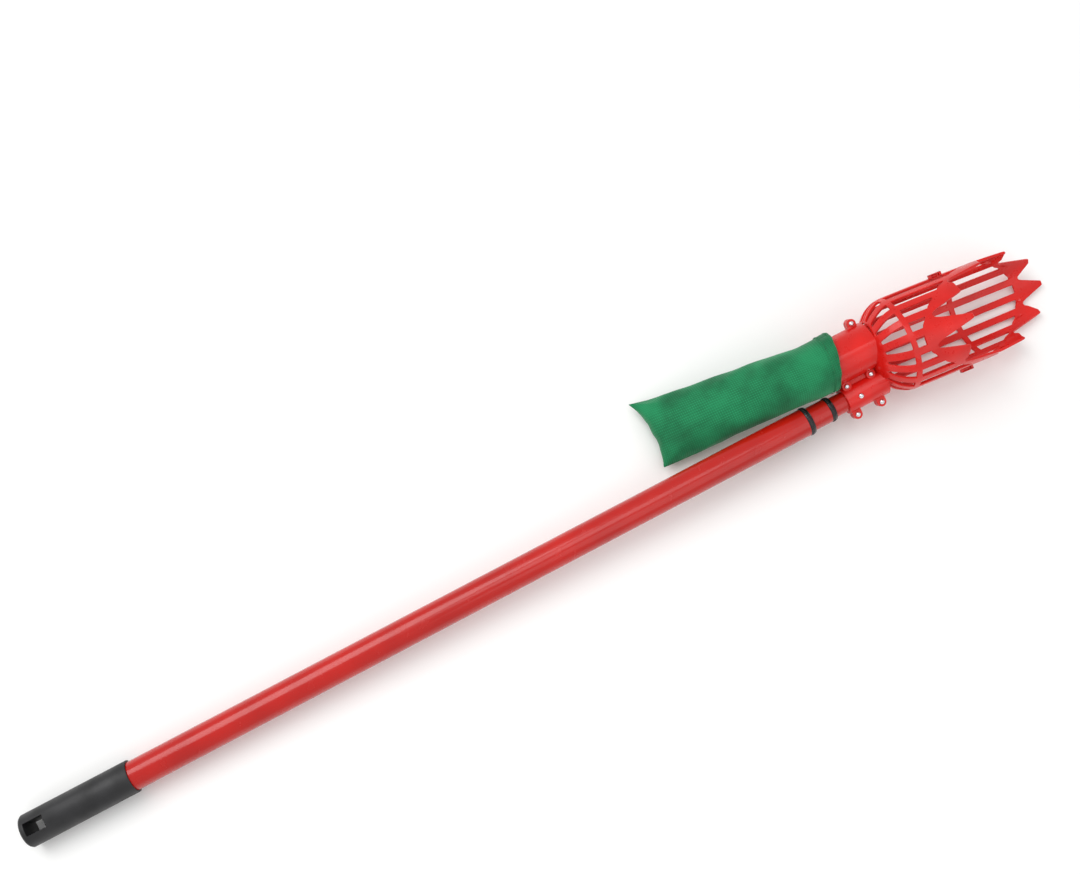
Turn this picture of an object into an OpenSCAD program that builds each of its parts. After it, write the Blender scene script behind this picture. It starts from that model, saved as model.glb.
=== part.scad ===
// Fruit picker: a slatted picking basket, moulded as two shells, on a three-section
// twist-lock pole, with a cloth bag on the basket's outlet neck.
// X runs along the pole towards the basket and Z is up. The origin is on the pole's
// axis, halfway along the bare outer tube.

/* [Pole tubes] */
// Outer diameter of the outer tube
outer_d = 30; // [29:0.5:38]
// Outer diameter of the middle tube
middle_d = 26; // [25:0.5:27]
// Outer diameter of the inner tube
inner_d = 22; // [20:0.5:23]
// Wall of every tube
tube_wall = 1; // [0.8:0.1:1.2]
// Bare length of the outer tube, between grip and collar
outer_bare = 766; // [400:2:1200]
// Length of middle tube that shows with the pole closed
middle_show = 21; // [10:1:60]
// Length of inner tube that shows with the pole closed
inner_show = 15; // [8:1:60]
// How far the outer tube reaches into the grip
grip_overlap = 80; // [60:5:120]
// Gap left behind each inner tube's lower end with the pole closed
nest_gap = 60; // [40:5:120]

/* [Collars] */
// Width of each black collar
collar_w = 6; // [4:1:12]
// How far a collar stands proud of the tube that it caps
collar_proud = 0.4; // [0.2:0.1:0.8]
// Depth of a collar's skirt inside its tube
collar_skirt = 12; // [6:1:20]

/* [Twist locks] */
// Length of each expanding lock sleeve
lock_len = 34; // [24:2:50]
// Diameter of the lock's screw
lock_screw_d = 8; // [6:0.5:10]
// Width of the slit in the sleeve
lock_slit = 2.4; // [1.5:0.1:4]

/* [Grip] */
// Outer diameter of the grip
grip_d = 34; // [33:0.5:42]
// Solid length beyond the tube's end, which holds the hanging slot
grip_end = 34; // [30:1:60]
// Length of the hanging slot along the pole
slot_l = 20; // [12:1:24]
// Width of the hanging slot
slot_w = 13; // [8:1:18]

/* [Head] */
// Distance from the pole's axis to the neck's axis
neck_offset = 42; // [41:0.5:60]
// Outer diameter of the outlet neck
neck_d = 50; // [44:1:52]
// Wall of the neck
neck_wall = 2; // [1.6:0.1:3]
// Length of bare neck between socket mouth and basket floor
neck_len = 41; // [36:1:60]
// How far the neck reaches back past the socket mouth, under the bag's hem
neck_tail = 19; // [16:1:19]
// Wall of the pole socket
socket_wall = 3; // [2.4:0.1:4]
// Roll of the head about the pole's axis, with the picker lying down
head_roll = 20; // [0:1:40]

/* [Basket] */
// Largest outer radius of the basket
basket_r = 51; // [46:1:70]
// Wall of the basket
basket_wall = 2.6; // [2:0.1:4]
// Depth of the rounded shoulder
shoulder = 40; // [34:1:60]
// Length from the floor to the tips, at the middle of the slanted mouth
mouth_mid = 163; // [150:1:220]
// How far the slanted mouth's tips run ahead and behind of that
mouth_slant = 75; // [40:1:76]
// How much lower the mouth's near side runs than a plain slant
mouth_dip = 9; // [0:1:12]
// Extra length of the one long tooth on the near side
long_tooth = 24; // [0:1:30]
// Lean of the basket's axis towards the pole
lean = 5.3; // [0:0.1:8]
// Number of slats around the basket
slats = 18; // [14:2:22]
// Width of a slat
slat_w = 5; // [3:0.5:7]
// Number of teeth around the mouth
teeth = 10; // [8:2:12]
// Height of a tooth
tooth_h = 24; // [14:1:28]
// Width of a tooth's tip
tooth_tip = 5; // [3:0.5:8]
// Width of the rim band below the teeth
band_w = 6.5; // [4:0.5:10]
// Width of the hoops that tie the slats together
hoop_w = 6; // [4:0.5:10]
// Distance from the floor to the first hoop
hoop_1 = 34; // [30:1:44]
// Distance from the floor to the second hoop
hoop_2 = 130; // [110:1:140]

/* [Fasteners] */
// Diameter of the seam screws
screw_d = 3; // [2.5:0.1:4]
// Diameter of a screw lug
lug_d = 10; // [9:0.5:12]
// Thickness of each half of a lug
lug_t = 4.5; // [3.5:0.5:6]
// Height of each half of the bosses between socket and neck
boss_t = 9; // [8.5:0.5:11]

/* [Bag] */
// Length of the bag
bag_len = 204; // [140:2:260]
// Thickness of the cloth
cloth = 1; // [0.8:0.1:1.6]
// Half width of the bag where it lies flat
bag_half_w = 36; // [30:1:38]
// Half depth of the bag where it lies flat
bag_half_h = 20; // [14:1:24]
// How far the bag's end hangs below the pole's axis
bag_drop = 18; // [0:1:20]
// How far the hem runs ahead on the bag's outer side, and behind on the other
hem_slant = 8; // [0:1:9]
// How far the bag swings away from the pole
bag_swing = 28; // [10:1:34]

/* [Hidden] */
$fn = 96;
// Running clearance, on the radius, between parts that turn or slide
run_gap = 0.07;
// Clearance, on the radius, of a part that is fixed in another
fixed_gap = 0.05;
// Gap between the two basket shells at the seam
seam_gap = 0.2;
// A cut runs past its part by this much
over = 1;
// Stations along the pole
outer_end = outer_bare / 2;
grip_mouth = -outer_bare / 2;
outer_start = grip_mouth - grip_overlap;
middle_end = outer_end + collar_w + middle_show;
socket_x = middle_end + collar_w + inner_show;
floor_x = socket_x + neck_len;
// Radii of the tubes, outside and inside
outer_r = outer_d / 2;
outer_ri = outer_r - tube_wall;
middle_r = middle_d / 2;
middle_ri = middle_r - tube_wall;
inner_r = inner_d / 2;
inner_ri = inner_r - tube_wall;
// Lower ends of the sliding tubes, with room for the locks
plug_len = 14;
middle_start = outer_start + plug_len + nest_gap + lock_len;
inner_start = middle_start + nest_gap + lock_len;
// The inner tube stops against the socket's end wall
socket_end = floor_x - 4;
// How far the neck and the socket reach into the basket's rounded shoulder
neck_in = 9;
socket_in = 8;
// Place of the catches along the basket's axis, and of one tooth around it
catch_t = 100;
tooth_turn = 12;
long_tooth_a = tooth_turn + 2 * 360 / teeth;
socket_r = inner_r + socket_wall;
neck_r = neck_d / 2;
neck_ri = neck_r - neck_wall;
basket_y = neck_offset - 10;
lug_x = [socket_x + 7, socket_x + neck_len - 5];
// Halfway between socket and neck at the height of the bosses' tops
web_y = (neck_offset - sqrt(pow(neck_r, 2) - pow(boss_t, 2))
    + sqrt(pow(socket_r, 2) - pow(boss_t, 2))) / 2;
lug_y = -socket_r - lug_d / 2 + 1;
top_lug_y = neck_offset + neck_r + lug_d / 2 - 1.5;
// Each seam screw's place in the head's own X and Y, and the height of its lug's half
seam_places = [for (x = lug_x) [x, lug_y, lug_t], for (x = lug_x) [x, web_y, boss_t],
    [floor_x, top_lug_y, lug_t]];
screw_r = screw_d / 2;
head_h = 2;
nut_h = 2.4;
// Clearance, on the radius, of a screw in its hole
hole_gap = 0.1;
pole_screw_x = socket_x + 15;

// Radius of the basket at a distance t from its floor
function basket_at(t) = t < shoulder
    ? basket_r * sqrt(max(0, 1 - pow(1 - t / shoulder, 2)))
    : basket_r * (1 - 0.05 * pow((t - shoulder) / (mouth_mid + mouth_slant - shoulder), 2));
// Distance from the floor to the rim's and the teeth's ends at an angle about the basket's axis
function rim_at(a) = mouth_mid - mouth_slant * sin(a) - mouth_dip * pow(max(0, sin(a)), 3);
function tips_at(a) = rim_at(a) + long_tooth * pow(max(0, cos(a - long_tooth_a)), 16);
// Distance from the floor to the rim band's inner edge
function band_at(a) = rim_at(a) - tooth_h - band_w;

// A straight bar along X
module rod(x0, x1, r) {
    translate([x0, 0, 0]) rotate([0, 90, 0]) cylinder(r = r, h = x1 - x0);
}

// A straight pipe along X
module pipe(x0, x1, r, ri) {
    difference() {
        rod(x0, x1, r);
        rod(x0 - over, x1 + over, ri);
    }
}

// Places the head's own frame: rolled about the pole's axis
module in_head() {
    rotate([head_roll, 0, 0]) children();
}

// Places the basket's own frame: Z along its leaning axis, X towards the seam's far side
module in_basket() {
    translate([floor_x, basket_y, 0]) rotate([0, 0, -lean]) rotate([90, 0, 90]) children();
}

module grip() {
    color([0.1, 0.1, 0.11]) difference() {
        union() {
            rod(outer_start - grip_end + 2, grip_mouth, grip_d / 2);
            translate([outer_start - grip_end, 0, 0]) rotate([0, 90, 0])
                cylinder(r1 = grip_d / 2 - 1.5, r2 = grip_d / 2, h = 2);
        }
        rod(outer_start, grip_mouth + over, outer_r + fixed_gap);
        translate([outer_start - grip_end + 5, -slot_w / 2, -grip_d])
            cube([slot_l, slot_w, 2 * grip_d]);
    }
}

module tube_plug() {
    color([0.15, 0.15, 0.16]) difference() {
        rod(outer_start + 0.1, outer_start + plug_len, outer_ri - fixed_gap);
        rod(outer_start + 3, outer_start + plug_len + over, outer_ri - 3);
    }
}

module outer_tube() {
    color([0.78, 0.06, 0.04]) pipe(outer_start + 0.1, outer_end, outer_r, outer_ri);
}

// A collar caps tube radius r with bore ri and guides a sliding tube of radius guide
module collar(x, r, ri, guide) {
    difference() {
        union() {
            rod(x + 0.05, x + collar_w, r + collar_proud);
            rod(x - collar_skirt, x + 1, ri - fixed_gap);
        }
        rod(x - collar_skirt - over, x + collar_w + over, guide + run_gap);
    }
}

module outer_collar() {
    color([0.08, 0.08, 0.09]) collar(outer_end, outer_r, outer_ri, middle_r);
}

// The split sleeve that spreads in a tube of bore ri behind the end x of the sliding tube
module lock_sleeve(x, ri) {
    difference() {
        rod(x - lock_len, x - 3.5, ri - run_gap);
        rod(x - lock_len - over, x, lock_screw_d / 2 + run_gap);
        translate([x - lock_len - over, -lock_slit / 2, 0]) cube([lock_len, lock_slit, ri + over]);
    }
}

// The lock's screw: plugged into the sliding tube of bore ri, with a head behind the sleeve
module lock_screw(x, ri) {
    difference() {
        union() {
            rod(x - lock_len - 4, x, lock_screw_d / 2);
            rod(x - lock_len - 5, x - lock_len - 0.5, ri - 2);
            rod(x - 3, x - fixed_gap, ri + tube_wall / 2);
            rod(x - 2, x + plug_len, ri - fixed_gap);
        }
        translate([x + plug_len / 2, 0, 0]) cylinder(r = 1.6, h = 4 * ri, center = true);
    }
}

// The pin that holds a lock screw in its tube
module lock_pin(x, r) {
    translate([x + plug_len / 2, 0, 0]) cylinder(r = 1.5, h = 2 * r - 0.4, center = true);
}

// A tube with the cross hole for its lock pin
module sliding_tube(x0, x1, r, ri) {
    difference() {
        pipe(x0, x1, r, ri);
        translate([x0 + plug_len / 2, 0, 0]) cylinder(r = 1.55, h = 4 * r, center = true);
    }
}

module lower_lock_sleeve() { color([0.85, 0.85, 0.83]) lock_sleeve(middle_start, outer_ri); }
module lower_lock_screw() { color([0.7, 0.7, 0.68]) lock_screw(middle_start, middle_ri); }
module lower_lock_pin() { color([0.6, 0.6, 0.62]) lock_pin(middle_start, middle_r); }
module upper_lock_sleeve() { color([0.85, 0.85, 0.83]) lock_sleeve(inner_start, middle_ri); }
module upper_lock_screw() { color([0.7, 0.7, 0.68]) lock_screw(inner_start, inner_ri); }
module upper_lock_pin() { color([0.6, 0.6, 0.62]) lock_pin(inner_start, inner_r); }

module middle_tube() {
    color([0.78, 0.06, 0.04]) sliding_tube(middle_start, middle_end, middle_r, middle_ri);
}

module middle_collar() {
    color([0.08, 0.08, 0.09]) collar(middle_end, middle_r, middle_ri, inner_r);
}

module inner_tube() {
    color([0.78, 0.06, 0.04]) difference() {
        sliding_tube(inner_start, socket_end, inner_r, inner_ri);
        in_head() translate([pole_screw_x, 0, 0]) cylinder(r = screw_r, h = 2 * inner_r);
    }
}

// The basket's bare wall as a body of revolution, before windows and teeth
module basket_wall_solid() {
    steps = 8;
    barrel = 6;
    top = mouth_mid + mouth_slant + 4;
    outside = [for (i = [2:steps]) let (a = 90 * i / steps)
            [basket_r * sin(a), shoulder * (1 - cos(a))],
        for (i = [1:barrel]) let (t = shoulder + (top - shoulder) * i / barrel) [basket_at(t), t]];
    inside = [for (i = [barrel:-1:1]) let (t = shoulder + (top - shoulder) * i / barrel)
            [basket_at(t) - basket_wall, t],
        for (i = [steps:-1:2]) let (a = 90 * i / steps)
            [(basket_r - basket_wall) * sin(a),
                basket_wall + (shoulder - basket_wall) * (1 - cos(a))]];
    rise = shoulder * (1 - cos(180 / steps));
    rotate_extrude() polygon(concat([[0, rise]], outside, inside, [[0, rise + basket_wall]]));
}

// A radial cutter with a flat outline, given as points across and along the axis
module radial_cut(a, outline) {
    rotate([0, 0, a]) rotate([90, 0, 90])
        translate([0, 0, basket_r / 4]) linear_extrude(basket_r * 1.25) polygon(outline);
}

// One window between two slats, from ta to the slanted end given by t0 and t1
module window(a, ta, t0, t1) {
    half = 180 / slats;
    wa = basket_at(ta) * sin(half) - slat_w / 2;
    wb = basket_at(min(t0, t1)) * sin(half) - slat_w / 2;
    radial_cut(a, [[-wa, ta], [wa, ta], [wb, t1], [-wb, t0]]);
}

// Every window of the basket: shoulder, body and, behind the second hoop, the long slats
module windows() {
    for (i = [0:slats - 1]) {
        a = (i + 0.5) * 360 / slats;
        step = 130 / slats; // a window's corners are this far either side of its middle
        e0 = band_at(a - step);
        e1 = band_at(a + step);
        window(a, 9, hoop_1 - hoop_w / 2, hoop_1 - hoop_w / 2);
        if (min(e0, e1) > hoop_2 + hoop_w) {
            window(a, hoop_1 + hoop_w / 2, hoop_2 - hoop_w / 2, hoop_2 - hoop_w / 2);
            window(a, hoop_2 + hoop_w / 2, e0, e1);
        } else {
            window(a, hoop_1 + hoop_w / 2, e0, e1);
        }
    }
}

// The valleys between the teeth, with round roots, and everything past the tips
module valleys() {
    pitch = 360 / teeth;
    root = 4;
    top = mouth_mid + mouth_slant + 10;
    wide = basket_r * tan(pitch / 2) + 3;
    for (i = [0:teeth - 1]) {
        a = (i + 0.5) * pitch + tooth_turn;
        w = basket_at(mouth_mid) * sin(pitch / 2) - tooth_tip / 2;
        t_left = tips_at(a - pitch / 2);
        t_right = tips_at(a + pitch / 2);
        foot = rim_at(a) - tooth_h + root;
        arc = [for (k = [-4:4]) [root * sin(k * 20), foot - root * cos(k * 20)]];
        radial_cut(a, concat(arc, [[w, t_right], [wide, t_right], [wide, top],
            [-wide, top], [-wide, t_left], [-w, t_left]]));
    }
}

// Catches at the seam: the front shell has a loop, and the back shell's tongue stands in it
module at_catch(side) {
    in_basket() rotate([0, 0, side > 0 ? 0 : 180]) mirror([0, side > 0 ? 0 : 1, 0])
        translate([basket_at(catch_t), 0, catch_t]) children();
}

module catch_loop(side) {
    at_catch(side) difference() {
        translate([-1.4, seam_gap / 2, -7]) cube([5.4, 5, 14]);
        translate([0.1, -over, -4.3]) cube([2.8, 5 + 3 * over, 8.6]);
    }
}

module catch_tongue(side) {
    at_catch(side) {
        translate([0.3, -2.4, -4]) cube([2.4, 6.4, 8]);
        translate([-1.4, -2.4, -4]) cube([2.4, 2.4 - seam_gap / 2, 8]);
    }
}

// Everything of the head that both shells share, before the seam splits it
module head_solid() {
    difference() {
        union() {
            in_basket() difference() {
                basket_wall_solid();
                windows();
                valleys();
            }
            translate([0, neck_offset, 0]) rod(socket_x - neck_tail, floor_x + neck_in, neck_r);
            rod(socket_x, floor_x + socket_in, socket_r);
            translate([socket_x + 2, 2, -lug_t]) cube([neck_len + 2, neck_offset - 20, 2 * lug_t]);
            for (p = seam_places)
                translate([p[0], p[1], -p[2]]) cylinder(d = lug_d, h = 2 * p[2]);
            for (x = lug_x)
                translate([x - lug_d / 2, lug_y, -lug_t]) cube([lug_d, lug_d, 2 * lug_t]);
            translate([floor_x - lug_d / 2, top_lug_y - lug_d, -lug_t])
                cube([lug_d, lug_d, 2 * lug_t]);
        }
        translate([0, neck_offset, 0]) rod(socket_x - neck_tail - over, floor_x + 30, neck_ri);
        rod(socket_x - over, socket_end + 0.2, inner_r + fixed_gap);
        in_basket() inside_of_basket();
        for (p = seam_places)
            translate([p[0], p[1], 0]) cylinder(r = screw_r + hole_gap, h = 60, center = true);
        translate([pole_screw_x, 0, 0]) cylinder(r = screw_r + hole_gap, h = 60);
    }
}

// The hollow of the basket, which trims what reaches in through its floor
module inside_of_basket() {
    steps = 8;
    rise = basket_wall + (shoulder - basket_wall) * (1 - cos(180 / steps));
    rotate_extrude() polygon(concat([[0, rise]],
        [for (i = [2:steps]) let (a = 90 * i / steps)
            [(basket_r - basket_wall) * sin(a) - 0.01,
                basket_wall + (shoulder - basket_wall) * (1 - cos(a))]],
        [[0, shoulder]]));
}

// The half space on one side of the seam
module seam_side(z) {
    translate([socket_x - 100, -200, z]) cube([600, 400, 200]);
}

module basket_front() {
    color([0.85, 0.07, 0.05]) in_head() {
        intersection() {
            head_solid();
            seam_side(seam_gap / 2);
        }
        catch_loop(1);
        catch_loop(-1);
    }
}

module basket_back() {
    color([0.8, 0.06, 0.05]) in_head() {
        intersection() {
            head_solid();
            seam_side(-200 - seam_gap / 2);
        }
        catch_tongue(1);
        catch_tongue(-1);
    }
}

// Pan-head screws through every seam lug
module seam_screws() {
    color([0.85, 0.85, 0.87]) in_head() for (p = seam_places) translate([p[0], p[1], 0]) {
        translate([0, 0, -p[2] - nut_h - 1]) cylinder(r = screw_r, h = 2 * p[2] + nut_h + 2);
        translate([0, 0, p[2] + fixed_gap]) cylinder(r1 = screw_r + 1.5, r2 = screw_r + 0.7, h = head_h);
    }
}

module seam_nuts() {
    color([0.75, 0.75, 0.77]) in_head() for (p = seam_places)
        translate([p[0], p[1], -p[2] - nut_h - fixed_gap]) difference() {
            cylinder(r = screw_r + 1.6, h = nut_h, $fn = 6);
            translate([0, 0, -over]) cylinder(r = screw_r + fixed_gap, h = nut_h + 2 * over);
        }
}

module pole_screw() {
    color([0.85, 0.85, 0.87]) in_head() translate([pole_screw_x, 0, 0]) {
        translate([0, 0, inner_r - 3]) cylinder(r = screw_r - 0.05, h = socket_wall + 3.5);
        translate([0, 0, socket_r + fixed_gap])
            cylinder(r1 = screw_r + 1.5, r2 = screw_r + 0.7, h = head_h);
    }
}

// The bag's centre, half width and half depth at a share q of its length from the hem. Along
// the neck, up to the share on_neck, it stays round and straight.
hem_x = socket_x + 6;
hem_r = neck_r + 2.4;
on_neck = (neck_tail + 8) / bag_len;
neck_y = neck_offset * cos(head_roll);
neck_z = neck_offset * sin(head_roll);
function past_neck(q) = max(0, q - on_neck) / (1 - on_neck);
function ease(u) = u * u * (3 - 2 * u);
function bag_x(q) = hem_x - bag_len * q;
function bag_y(q) = neck_y + bag_swing * past_neck(q);
function bag_z(q) = neck_z - (neck_z + bag_drop) * ease(past_neck(q));
function bag_w(q) = hem_r + (bag_half_w - hem_r) * ease(min(1, past_neck(q) * 1.6)) - 3 * pow(q, 6);
function bag_h(q) = (hem_r + (bag_half_h - hem_r) * ease(min(1, past_neck(q) * 1.4)))
    * sqrt(max(0.03, 1 - pow(q, 8)));

// A closed lofted solid through rings of points
module loft(rings) {
    n = len(rings[0]);
    m = len(rings);
    points = [for (r = rings) each r];
    sides = [for (j = [0:m - 2], i = [0:n - 1]) let (a = j * n + i, b = j * n + (i + 1) % n)
        each [[a, b, b + n], [a, b + n, a + n]]];
    caps = [[for (i = [n - 1:-1:0]) i], [for (i = [0:n - 1]) (m - 1) * n + i]];
    polyhedron(points = points, faces = concat(sides, caps), convexity = 6);
}

// The bag's outer shape, shrunk by an amount, from the share q0 to q1 of its length: two rings
// along the neck, and then rings that crowd towards the closed end
module bag_body(shrink, q0, q1) {
    n = 32;
    shares = concat([q0, on_neck], [for (k = [1:16]) on_neck + (q1 - on_neck) * sin(90 * k / 16)]);
    rings = [for (q = shares) [for (i = [0:n - 1]) let (a = 360 * i / n)
        [bag_x(q) + hem_slant * cos(a) * max(0, 1 - q / on_neck),
            bag_y(q) + (bag_w(q) - shrink) * cos(a), bag_z(q) + (bag_h(q) - shrink) * sin(a)]]];
    loft(rings);
}

module bag() {
    color([0.05, 0.45, 0.25]) difference() {
        bag_body(0, 0, 1);
        bag_body(cloth, -0.02, 0.96);
    }
}

// The elastic sewn inside the hem, snug on the neck
module bag_elastic() {
    color([0.9, 0.9, 0.88]) in_head() translate([0, neck_offset, 0])
        pipe(hem_x - 19, hem_x - 11, neck_r + 1.1, neck_r + hole_gap);
}

grip();
tube_plug();
outer_tube();
outer_collar();
lower_lock_sleeve();
middle_tube();
middle_collar();
lower_lock_screw();
lower_lock_pin();
upper_lock_sleeve();
inner_tube();
upper_lock_screw();
upper_lock_pin();
basket_front();
basket_back();
seam_screws();
seam_nuts();
pole_screw();
bag();
bag_elastic();
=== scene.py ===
"""Looks of a fruit picker: slatted basket, cloth bag and telescopic pole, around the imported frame.

Lengths are in metres, except in small profiles and boxes, which are in millimetres and say MM where they
are used. X runs along the pole towards the basket, and Z is up.
"""

import logging
import math
from dataclasses import dataclass, field
from enum import Enum
from functools import cache, partial
from typing import Callable, Iterable, Optional, Sequence

import bmesh
import bpy
from mathutils import Matrix, Vector, noise


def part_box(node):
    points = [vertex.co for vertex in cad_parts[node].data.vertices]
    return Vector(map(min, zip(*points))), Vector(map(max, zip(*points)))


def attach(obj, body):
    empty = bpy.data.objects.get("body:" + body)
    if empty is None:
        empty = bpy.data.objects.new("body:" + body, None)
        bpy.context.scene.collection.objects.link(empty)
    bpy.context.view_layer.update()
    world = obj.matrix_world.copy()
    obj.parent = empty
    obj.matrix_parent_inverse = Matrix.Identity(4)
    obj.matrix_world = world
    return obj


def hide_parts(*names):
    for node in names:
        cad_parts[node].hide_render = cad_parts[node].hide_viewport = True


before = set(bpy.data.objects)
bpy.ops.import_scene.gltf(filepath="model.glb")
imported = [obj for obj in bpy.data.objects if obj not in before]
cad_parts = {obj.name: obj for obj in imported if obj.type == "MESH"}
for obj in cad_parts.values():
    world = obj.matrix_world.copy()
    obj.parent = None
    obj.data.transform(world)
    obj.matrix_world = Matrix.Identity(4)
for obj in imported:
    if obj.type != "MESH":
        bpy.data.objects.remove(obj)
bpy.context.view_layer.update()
LOG = logging.getLogger("picker")
MM = 0.001
Tree = bpy.types.NodeTree
Node = bpy.types.Node
Socket = bpy.types.NodeSocket
Material = bpy.types.Material
Piece = bpy.types.Object


# ---------------------------------------------------------------- colours and shader nodes


def linear(hex_colour: str) -> tuple[float, float, float, float]:
    """Turn an sRGB colour into the linear one that a shader takes.

    Args:
        hex_colour: six hex digits.
    Returns:
        Linear red, green, blue and an alpha of 1.
    """
    parts = [int(hex_colour[i:i + 2], 16) / 255 for i in (0, 2, 4)]
    low_end = 0.04045
    values = [p / 12.92 if p <= low_end else ((p + 0.055) / 1.055) ** 2.4 for p in parts]
    return (*values, 1.0)


def add_node(tree: Tree, kind: str, links: Optional[dict] = None,
             settings: Optional[dict] = None) -> Node:
    """Add a node, set its properties and fill or link its inputs.

    Args:
        tree: the node tree.
        kind: the node's type name.
        links: input name or index to a value or to an output socket.
        settings: the node's own properties.
    Returns:
        The new node.
    """
    node = tree.nodes.new(kind)
    for key, value in (settings or {}).items():
        setattr(node, key, value)
    fill_inputs(tree, node, links or {})
    return node


def fill_inputs(tree: Tree, node: Node, values: dict) -> None:
    """Fill a node's inputs with values, or link them to outputs; a node stands for its first output."""
    for key, value in values.items():
        if isinstance(value, (Socket, Node)):
            output = value.outputs[0] if isinstance(value, Node) else value
            tree.links.new(output, node.inputs[key])
        else:
            node.inputs[key].default_value = value


@dataclass(frozen=True)
class Finish:
    """A plain finish, whose pattern a subclass adds."""

    name: str
    colour: str
    roughness: float
    metallic: float = 0.0
    coat: float = 0.0
    coat_roughness: float = 0.08
    specular: float = 0.5

    def build(self) -> Material:
        """Make the material."""
        material = bpy.data.materials.new(self.name)
        material.use_nodes = True
        tree = material.node_tree
        shader = tree.nodes["Principled BSDF"]
        fill_inputs(tree, shader, {
            "Base Color": linear(self.colour), "Roughness": self.roughness, "Metallic": self.metallic,
            "Coat Weight": self.coat, "Coat Roughness": self.coat_roughness,
            "Specular IOR Level": self.specular})
        self.pattern(tree, shader)
        return material

    def pattern(self, tree: Tree, shader: Node) -> None:
        """Add nothing, for a bare finish."""

    def place(self, tree: Tree) -> Socket:
        """Return the piece's own coordinates, in metres."""
        return add_node(tree, "ShaderNodeTexCoord").outputs["Object"]

    def mottle(self, tree: Tree, shader: Node, value: Socket, dark: str, light: str) -> None:
        """Drift the colour from dark to light with a value."""
        colour = self.shade(tree, self.spread(tree, value, 0.0, 1.0), dark, light)
        fill_inputs(tree, shader, {"Base Color": colour})

    def gloss(self, tree: Tree, shader: Node, value: Socket, low: float, high: float) -> None:
        """Vary the roughness with a value, from low to high past the finish's own."""
        rough = self.spread(tree, value, self.roughness + low, self.roughness + high)
        fill_inputs(tree, shader, {"Roughness": rough})

    def bump(self, tree: Tree, shader: Node, height: Socket, depth: float) -> None:
        """Bend the surface's normal by a height.

        Args:
            tree: the material's tree.
            shader: its shader.
            height: from 0 to 1.
            depth: the real depth, in metres, of a height of 1.
        """
        bump = add_node(tree, "ShaderNodeBump", {"Height": height, "Distance": depth, "Strength": 1.0})
        fill_inputs(tree, shader, {"Normal": bump})

    def noise(self, tree: Tree, size: float, detail: float = 2.0) -> Socket:
        """Return noise whose grains are about a size in metres."""
        inputs = {"Vector": self.place(tree), "Scale": 1 / size, "Detail": detail}
        return add_node(tree, "ShaderNodeTexNoise", inputs).outputs["Fac"]

    def spread(self, tree: Tree, value: Socket, low: float, high: float) -> Socket:
        """Map noise from its usual middle range to low and high."""
        inputs = {"Value": value, "From Min": 0.3, "From Max": 0.7, "To Min": low, "To Max": high}
        return add_node(tree, "ShaderNodeMapRange", inputs).outputs["Result"]

    def shade(self, tree: Tree, value: Socket, dark: str, light: str) -> Socket:
        """Blend two colours by a value from 0 to 1."""
        first, second, result = 6, 7, 2
        mix = add_node(tree, "ShaderNodeMix", {"Factor": value}, {"data_type": "RGBA"})
        fill_inputs(tree, mix, {first: linear(dark), second: linear(light)})
        return mix.outputs[result]


@dataclass(frozen=True)
class PowderCoat(Finish):
    """Glossy powder coat on steel tube: a faint orange peel under a clear, wet-looking skin."""

    dark: str = "AC0F07"

    def pattern(self, tree: Tree, shader: Node) -> None:
        """Add orange peel 2.5 mm across and a slow drift of colour and gloss."""
        self.mottle(tree, shader, self.noise(tree, 0.06), self.dark, self.colour)
        self.gloss(tree, shader, self.noise(tree, 0.011, 4.0), -0.05, 0.07)
        self.bump(tree, shader, self.noise(tree, 0.0025), 0.000015)


@dataclass(frozen=True)
class MouldedPlastic(Finish):
    """Injection-moulded plastic: glossy skin with faint flow marks and softer patches."""

    dark: str = "C4130D"
    grain: float = 0.004
    depth: float = 0.00002

    def pattern(self, tree: Tree, shader: Node) -> None:
        """Add flow marks, gloss patches and a shallow skin texture."""
        self.mottle(tree, shader, self.noise(tree, 0.03, 3.0), self.dark, self.colour)
        self.gloss(tree, shader, self.noise(tree, 0.009, 5.0), -0.06, 0.09)
        self.bump(tree, shader, self.noise(tree, self.grain, 3.0), self.depth)


@dataclass(frozen=True)
class SparkGrain(Finish):
    """Black ABS from a spark-eroded mould: an even matte grain, rubbed lighter in patches."""

    light: str = "242426"

    def pattern(self, tree: Tree, shader: Node) -> None:
        """Add grain 0.9 mm across, drawn coarser than the real 0.2 mm so that it shows."""
        rub = self.noise(tree, 0.02, 5.0)
        self.mottle(tree, shader, rub, self.colour, self.light)
        self.gloss(tree, shader, rub, 0.06, -0.08)
        self.bump(tree, shader, self.noise(tree, 0.0009, 4.0), 0.00012)


@dataclass(frozen=True)
class BrightZinc(Finish):
    """Bright zinc plate on steel: mirror-like with fine turning marks."""

    def pattern(self, tree: Tree, shader: Node) -> None:
        """Add cloudy roughness and marks 0.6 mm across."""
        self.gloss(tree, shader, self.noise(tree, 0.0015, 4.0), -0.06, 0.12)
        self.bump(tree, shader, self.noise(tree, 0.0006, 2.0), 0.00002)


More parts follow.
